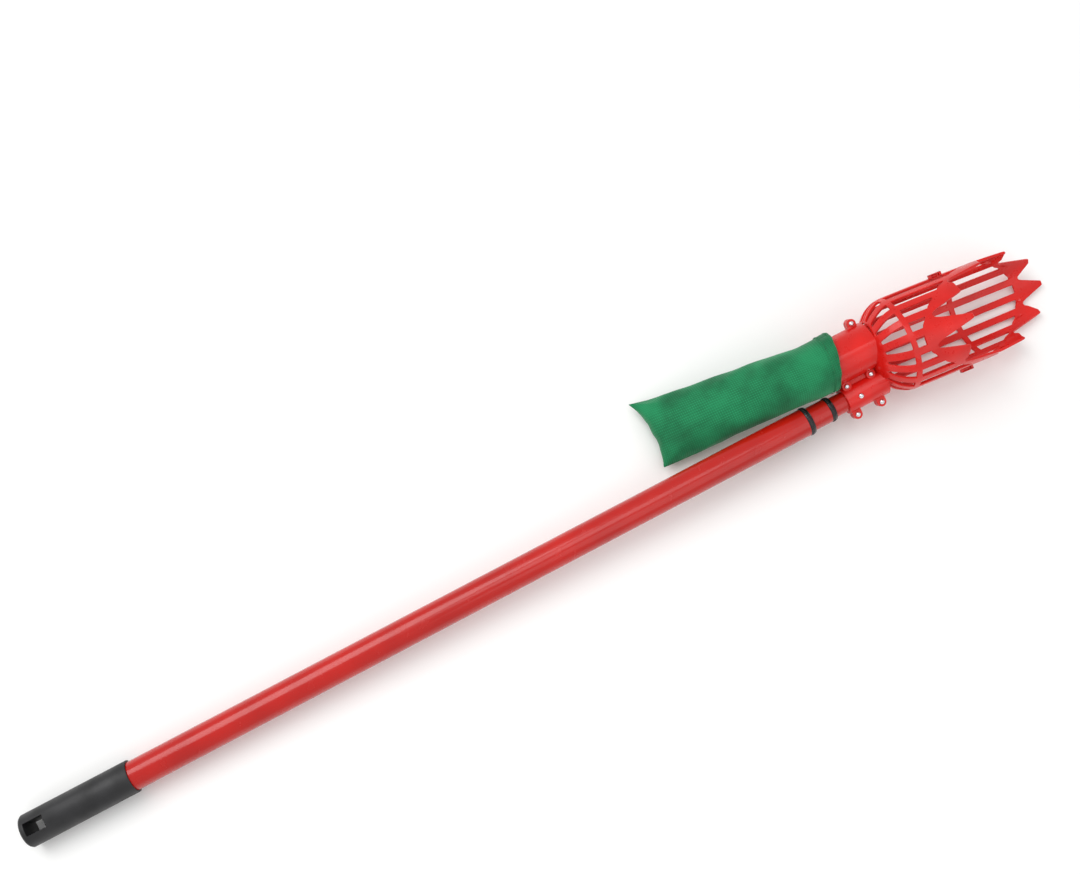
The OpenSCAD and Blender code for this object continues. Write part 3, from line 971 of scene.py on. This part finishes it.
    def screw_shape(self) -> Piece:
        """Build one pan-head screw with a cross recess, standing on its seat at the origin."""
        profile, steps = self.pan_head, 32
        points = [Vector((r * MM * math.cos(a), r * MM * math.sin(a), h * MM))
                  for h, r in profile for a in turns(steps)]
        rings = len(profile)
        faces = [(j * steps + k, j * steps + (k + 1) % steps, (j + 1) * steps + (k + 1) % steps,
                  (j + 1) * steps + k) for j in range(rings - 1) for k in range(steps)]
        faces.append(tuple(range(steps))[::-1])
        faces.append(tuple((rings - 1) * steps + k for k in range(steps)))
        screw = piece_of("pan_head", points, faces)
        for turn in (0.0, math.pi / 2):
            bar = box_piece("recess", (-1.5 * MM, -0.32 * MM, 1.1 * MM), (1.5 * MM, 0.32 * MM, 3 * MM),
                            Matrix.Rotation(turn, 4, "Z"), 0.05 * MM)
            cut = screw.modifiers.new("recess", "BOOLEAN")
            cut.operation = "DIFFERENCE"
            cut.solver = "EXACT"
            cut.object = bar
            flatten(screw)
            bpy.data.objects.remove(bar)
        shank = piece_of("shank", *tube_points(1.45 * MM, -1.0 * MM, 0.2 * MM, 20))
        return combine("pan_head", [screw, shank], self.palette.get(Look.ZINC), 30.0)

    def build_screws(self, name: str, node: str, seats: Sequence[tuple[float, float, float]]) -> None:
        """Set pan-head screws in their seats.

        Args:
            name: the piece's name.
            node: the CAD node that it stands for.
            seats: each seat in the head's own frame.
        """
        points = [self.head @ Vector(seat) for seat in seats]
        carrier = piece_of(name, points, [])
        shape = self.screw_shape()
        run_nodes(carrier, copies_on_points(), {
            "Object": shape, "Seed": 5, "Tilt": tuple(self.head.to_euler()),
            "Material": self.palette.get(Look.ZINC)})
        bpy.data.objects.remove(shape)
        soften(carrier, 30.0)
        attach(carrier, "head")
        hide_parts(node)
        LOG.info("%s: %d screws", name, len(seats))


def top_between(lines: Sequence[tuple[float, float]], a: float) -> float:
    """Return the crown's height at an angle, between its columns."""
    for (a0, t0), (a1, t1) in zip(lines, lines[1:]):
        if a0 <= a <= a1 and a1 > a0:
            return t0 + (t1 - t0) * (a - a0) / (a1 - a0)
    return lines[-1][1]


def tube_points(radius: float, low: float, high: float, steps: int) -> tuple[list, list]:
    """Return the points and faces of a closed cylinder on the Z axis."""
    points = [(radius * math.cos(a), radius * math.sin(a), z) for z in (low, high) for a in turns(steps)]
    faces = [(k, (k + 1) % steps, steps + (k + 1) % steps, steps + k) for k in range(steps)]
    faces += [tuple(range(steps))[::-1], tuple(steps + k for k in range(steps))]
    return points, faces


# ---------------------------------------------------------------- the bag


@dataclass
class Bag:
    """The cloth bag: a tube of cloth, gathered on the neck and sewn flat across its end."""

    palette: Palette
    basket: Basket
    length: float = 204 * MM
    hem_ahead: float = 6 * MM
    hem_radius: float = 29.0 * MM
    near_side: float = 27.0 * MM
    slant: float = 8 * MM
    swing: float = 28 * MM
    drop: float = 20 * MM
    cloth: float = 0.7 * MM
    around: int = 72
    along: int = 56
    on_neck: float = 27 / 204
    pole_clear: float = 16.3 * MM
    tube_clear: float = 14.4 * MM
    end_hollow: float = 6 * MM
    fold_depth: float = 1.5 * MM
    fold_start: float = 40 * MM
    fine_share: float = 0.35
    most_move: float = 11 * MM
    off_ground: float = 1.0 * MM
    rows_held: int = 10
    last_frame: int = 26
    pressure: float = 4.0
    hem_w: float = 11 * MM
    hem_t: float = 1.0 * MM
    hem_ripple: float = 0.35 * MM
    hem_steps: int = 96
    stitch_rows: tuple[float, ...] = (1.6 * MM, 9.2 * MM)
    stitch: float = 3.4 * MM
    stitch_lift: float = 1.25 * MM
    thread: float = 0.42 * MM

    def centre(self, q: float) -> Vector:
        """Return the bag's centre at a share of its length."""
        offset = self.basket.neck_offset + self.hem_radius - self.near_side
        start = Vector((0, offset * math.cos(self.basket.roll), offset * math.sin(self.basket.roll)))
        past = max(0.0, q - self.on_neck) / (1 - self.on_neck)
        ease = past * past * (3 - 2 * past)
        socket_x = self.basket.floor_x - self.basket.neck_len
        return Vector((socket_x + self.hem_ahead - self.length * q, start.y + self.swing * past,
                       start.z - (start.z + self.drop) * ease))

    def half_sizes(self, q: float) -> tuple[float, float]:
        """Return half the bag's width and depth, which keep its way round the same."""
        past = max(0.0, q - self.on_neck) / (1 - self.on_neck)
        depth = self.hem_radius * math.sqrt(max(0.0, 1 - past ** 1.4))
        width = math.sqrt(2 * self.hem_radius ** 2 - depth ** 2) * (1 - 0.04 * past ** 3)
        return width, depth

    def flat_shape(self) -> Piece:
        """Build the cloth as one sheet: rings from the hem, closed along the end seam."""
        points, ids = [], {}
        for j in range(self.along + 1):
            q = j / self.along
            centre = self.centre(q)
            width, depth = self.half_sizes(q)
            ahead = self.slant * max(0.0, 1 - q / self.on_neck)
            hollow = self.end_hollow * max(0.0, (q - 0.6) / 0.4) ** 3
            for i in range(self.around):
                a = math.tau * i / self.around
                if j == self.along and i > self.around // 2:
                    ids[j, i] = ids[j, self.around - i]
                    continue
                ids[j, i] = len(points)
                pulled = ahead * math.cos(a) + hollow * (1 - abs(math.cos(a)) ** 2.5)
                points.append(centre + Vector((pulled, width * math.cos(a), depth * math.sin(a))))
        steps = [(i, (i + 1) % self.around) for i in range(self.around)]
        faces = [(ids[j, i], ids[j + 1, i], ids[j + 1, k], ids[j, k])
                 for j in range(self.along) for i, k in steps]
        faces = [tuple(dict.fromkeys(f)) for f in faces]
        piece = piece_of("bag_cloth", points, [f for f in faces if len(f) > 2])
        self.lay_flat(piece, ids)
        return piece

    def lay_flat(self, piece: Piece, ids: dict[tuple[int, int], int]) -> None:
        """Give the cloth its flat coordinates, in metres round the bag and along it."""
        uv = piece.data.uv_layers.new(name="flat")
        round_the_bag = math.tau * self.hem_radius
        where: dict[int, tuple[int, int]] = {}
        for (j, i), index in ids.items():
            where.setdefault(index, (j, i))
        for face in piece.data.polygons:
            cells = [where[piece.data.loops[k].vertex_index] for k in face.loop_indices]
            wraps = max(c[1] for c in cells) - min(c[1] for c in cells) > self.around / 2
            for k, (j, i) in zip(face.loop_indices, cells):
                turn = i + (self.around if wraps and i < self.around / 2 else 0)
                uv.data[k].uv = (turn / self.around * round_the_bag, j / self.along * self.length)

    def fill(self, piece: Piece) -> None:
        """Let the cloth fill with a little air from its flat shape, held at the neck."""
        held = piece.vertex_groups.new(name="held")
        held.add(list(range(self.rows_held * self.around)), 1.0, "REPLACE")
        cloth = piece.modifiers.new("cloth", "CLOTH")
        for label, value in (("quality", 8), ("mass", 0.15), ("tension_stiffness", 25),
                             ("compression_stiffness", 25), ("shear_stiffness", 8),
                             ("bending_stiffness", 0.08), ("use_pressure", True),
                             ("uniform_pressure_force", self.pressure), ("vertex_group_mass", "held")):
            setattr(cloth.settings, label, value)
        cloth.settings.effector_weights.gravity = 0.0
        scene = bpy.context.scene
        cloth.point_cache.frame_start, cloth.point_cache.frame_end = 1, self.last_frame
        for number in range(1, self.last_frame + 1):
            scene.frame_set(number)
        flatten(piece)
        scene.frame_set(1)
        piece.vertex_groups.clear()

    def crease(self, piece: Piece) -> None:
        """Press soft folds into the loose cloth, which run askew from the neck to the corners."""
        for vertex in piece.data.vertices:
            place = vertex.co - self.centre(0.5)
            loose = min(1.0, max(0.0, (self.centre(self.on_neck).x - vertex.co.x) / self.fold_start))
            askew = Vector((place.x * 16 + place.y * 30, place.y * 62 - place.x * 18, place.z * 45))
            small = Vector((place.x * 40, place.y * 90 + 7, place.z * 90))
            folds = noise.noise(askew) + self.fine_share * noise.noise(small)
            vertex.co += vertex.normal * loose * self.fold_depth * folds

    def settle(self, piece: Piece, start: list[Vector]) -> None:
        """Cap how far the cloth moved, and rest it against the pole and the ground."""
        past_rim = cad_box("outer_collar")[1].x + 1.5 * MM
        for vertex, before in zip(piece.data.vertices, start):
            move = vertex.co - before
            if move.length > self.most_move:
                vertex.co = before + move.normalized() * self.most_move
            away = Vector((0, vertex.co.y, vertex.co.z))
            clear = self.tube_clear if vertex.co.x > past_rim else self.pole_clear
            if away.length < clear:
                away = away.normalized() * clear
                vertex.co.y, vertex.co.z = away.y, away.z
            vertex.co.z = max(vertex.co.z, ground_height(vertex.co.x) + self.off_ground)

    def build(self) -> Piece:
        """Build the bag and sew its hem."""
        cloth = self.flat_shape()
        start = [v.co.copy() for v in cloth.data.vertices]
        self.fill(cloth)
        self.crease(cloth)
        self.settle(cloth, start)
        subdivide(cloth, 1)
        thicken(cloth, self.cloth, 0.0)
        outward(cloth)
        dress(cloth, self.palette.get(Look.CLOTH))
        soften(cloth, 60.0)
        hem = self.build_hem()
        threads = self.build_stitches()
        for piece in (cloth, hem, threads):
            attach(piece, "head")
        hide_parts("bag")
        LOG.info("bag: %d faces", len(cloth.data.polygons))
        return cloth

    def hem_point(self, along: float, out: float, a: float) -> Vector:
        """Return a point of the hem: along from the bag's mouth, out from its cloth, at an angle."""
        q = along / self.length
        ahead = self.slant * max(0.0, 1 - q / self.on_neck)
        radius = self.hem_radius + out
        return self.centre(q) + Vector((ahead * math.cos(a), radius * math.cos(a), radius * math.sin(a)))

    def build_hem(self) -> Piece:
        """Build the folded hem: a soft band round the bag's mouth."""
        width, thick = self.hem_w, self.hem_t
        profile = [(-0.6 * MM, -0.3 * MM), (-0.9 * MM, 0.3 * MM), (-0.5 * MM, thick),
                   (1.5 * MM, thick * 1.15), (width * 0.5, thick * 0.95),
                   (width - 1.2 * MM, thick * 0.8), (width, 0.1 * MM),
                   (width, -0.5 * MM), (width * 0.5, -0.6 * MM)]
        hem = lathe("bag_hem", profile, self.hem_steps, self.hem_point)
        for vertex in hem.data.vertices:
            centre = self.centre(0.0)
            a = math.atan2(vertex.co.z - centre.z, vertex.co.y - centre.y)
            wave = self.hem_ripple * (math.sin(9 * a) + 0.6 * math.sin(14 * a + 1.3))
            vertex.co += Vector((0.4 * wave, wave * math.cos(a), wave * math.sin(a)))
        subdivide(hem, 1)
        dress(hem, self.palette.get(Look.CLOTH))
        soften(hem, 60.0)
        self.flat_map(hem)
        return hem

    def flat_map(self, piece: Piece) -> None:
        """Give a band round the bag's mouth its flat coordinates."""
        uv = piece.data.uv_layers.new(name="flat")
        centre = self.centre(0.0)
        for loop in piece.data.loops:
            co = piece.data.vertices[loop.vertex_index].co
            a = math.atan2(co.z - centre.z, co.y - centre.y)
            uv.data[loop.index].uv = (a * self.hem_radius, co.x)

    def build_stitches(self) -> Piece:
        """Sew the hem's two rows of stitches."""
        steps = self.hem_steps
        points, edges = [], []
        for along in self.stitch_rows:
            base = len(points)
            points += [self.hem_point(along, self.stitch_lift, a) for a in turns(steps)]
            edges += [(base + k, base + (k + 1) % steps) for k in range(steps)]
        mesh = bpy.data.meshes.new("bag_stitches")
        mesh.from_pydata([tuple(p) for p in points], edges, [])
        path = new_piece("bag_stitches", mesh)
        run_nodes(path, stitches_on_path(), {"Stitch": self.stitch, "Thread": self.thread,
                                             "Material": self.palette.get(Look.THREAD)})
        soften(path, 80.0)
        return path


# ---------------------------------------------------------------- floor, light and camera


@dataclass
class Studio:
    """The floor that the picker lies on, the soft light and the camera."""

    camera_place: tuple = (0.0187, -0.1662, 1.2247)
    camera_turn: tuple = (13.881, 1.441, -27.702)
    focal_length: float = 40.13
    sensor: float = 36.0
    floor_reach: float = 6.0
    sky: float = 0.7
    lamps: tuple = (("key", (-0.55, 1.15, 1.9), 1.5, 25.0), ("fill", (0.9, -1.4, 1.7), 1.8, 8.0),
                    ("strip", (0.35, 0.1, 2.1), 0.9, 5.0))
    lit_point: tuple = (0.1, 0, 0)

    def build(self) -> None:
        """Set the floor, the lights and the camera."""
        self.build_floor()
        self.build_lights()
        self.build_camera()
        LOG.info("studio ready")

    def build_floor(self) -> None:
        """Lay a pale floor under the grip and the basket."""
        reach = self.floor_reach
        points = [(x, y, ground_height(x)) for x in (-reach, reach) for y in (-reach, reach)]
        floor = piece_of("floor", points, [(0, 2, 3, 1)])
        dress(floor, Finish("pale_backdrop", "F7F7F6", 0.7).build())

    def build_lights(self) -> None:
        """Hang a large soft key light, a fill and an even sky."""
        for name, place, size, power in self.lamps:
            lamp = bpy.data.lights.new(name, "AREA")
            lamp.size = size
            lamp.energy = power
            holder = bpy.data.objects.new(name, lamp)
            bpy.context.scene.collection.objects.link(holder)
            holder.location = place
            aim = Vector(self.lit_point) - Vector(place)
            holder.rotation_euler = aim.to_track_quat("-Z", "Y").to_euler()
        world = bpy.data.worlds.new("soft_sky")
        world.use_nodes = True
        fill_inputs(world.node_tree, world.node_tree.nodes["Background"],
                    {"Color": (1, 1, 1, 1), "Strength": self.sky})
        bpy.context.scene.world = world
        bpy.context.scene.view_settings.view_transform = "Standard"

    def build_camera(self) -> None:
        """Set the camera."""
        data = bpy.data.cameras.new("view")
        data.lens = self.focal_length
        data.sensor_width = self.sensor
        data.clip_end = 50
        camera = bpy.data.objects.new("view", data)
        camera.location = self.camera_place
        camera.rotation_euler = [math.radians(v) for v in self.camera_turn]
        bpy.context.scene.collection.objects.link(camera)
        bpy.context.scene.camera = camera


def ground_height(x: float) -> float:
    """Return the height of the sloping ground, which the grip's end and the basket touch."""
    from_neck, gap = 140 * MM, 0.3 * MM
    grip_low, basket_low = cad_box("grip")[0], cad_box("basket_back")[0]
    touch_x = basket_low.x + from_neck
    slope = (basket_low.z - grip_low.z) / (touch_x - grip_low.x)
    return grip_low.z + slope * (x - grip_low.x) - gap


def seats_of_screws(basket: Basket) -> tuple[list, list]:
    """Return the seats of the seam screws and of the pole screw, in the head's own frame."""
    socket_x = basket.floor_x - basket.neck_len
    lug_x = (socket_x + 7 * MM, socket_x + 36 * MM)
    lug_y, lug_z, rim_lug_y = -18 * MM, 4.55 * MM, 70.5 * MM
    neck_r, socket_r, boss, lift = 25 * MM, 14 * MM, 9 * MM, 0.05 * MM
    web_y = (basket.neck_offset - math.sqrt(neck_r ** 2 - boss ** 2)
             + math.sqrt(socket_r ** 2 - boss ** 2)) / 2
    seats = [(x, lug_y, lug_z) for x in lug_x] + [(x, web_y, boss + lift) for x in lug_x]
    seats.append((basket.floor_x, rim_lug_y, lug_z))
    return seats, [(socket_x + 15 * MM, 0.0, socket_r + lift)]


def main() -> None:
    """Build every sub-assembly in order."""
    logging.basicConfig(level=logging.INFO, format="%(name)s: %(message)s")
    Studio().build()
    palette = Palette()
    pole = Pole(palette)
    pole.dress()
    pole.build_grip()
    pole.build_collar("outer_collar", "pole")
    pole.build_collar("middle_collar", "middle")
    basket = Basket(palette)
    basket.build_shell("basket_front", 0.0, math.pi)
    basket.build_shell("basket_back", math.pi, math.tau)
    seams, pole_seat = seats_of_screws(basket)
    basket.build_screws("seam_screw_set", "seam_screws", seams)
    basket.build_screws("pole_screw_head", "pole_screw", pole_seat)
    Bag(palette, basket).build()
    dress_node("bag_elastic", palette.get(Look.ELASTIC))


if __name__ == "__main__":
    main()
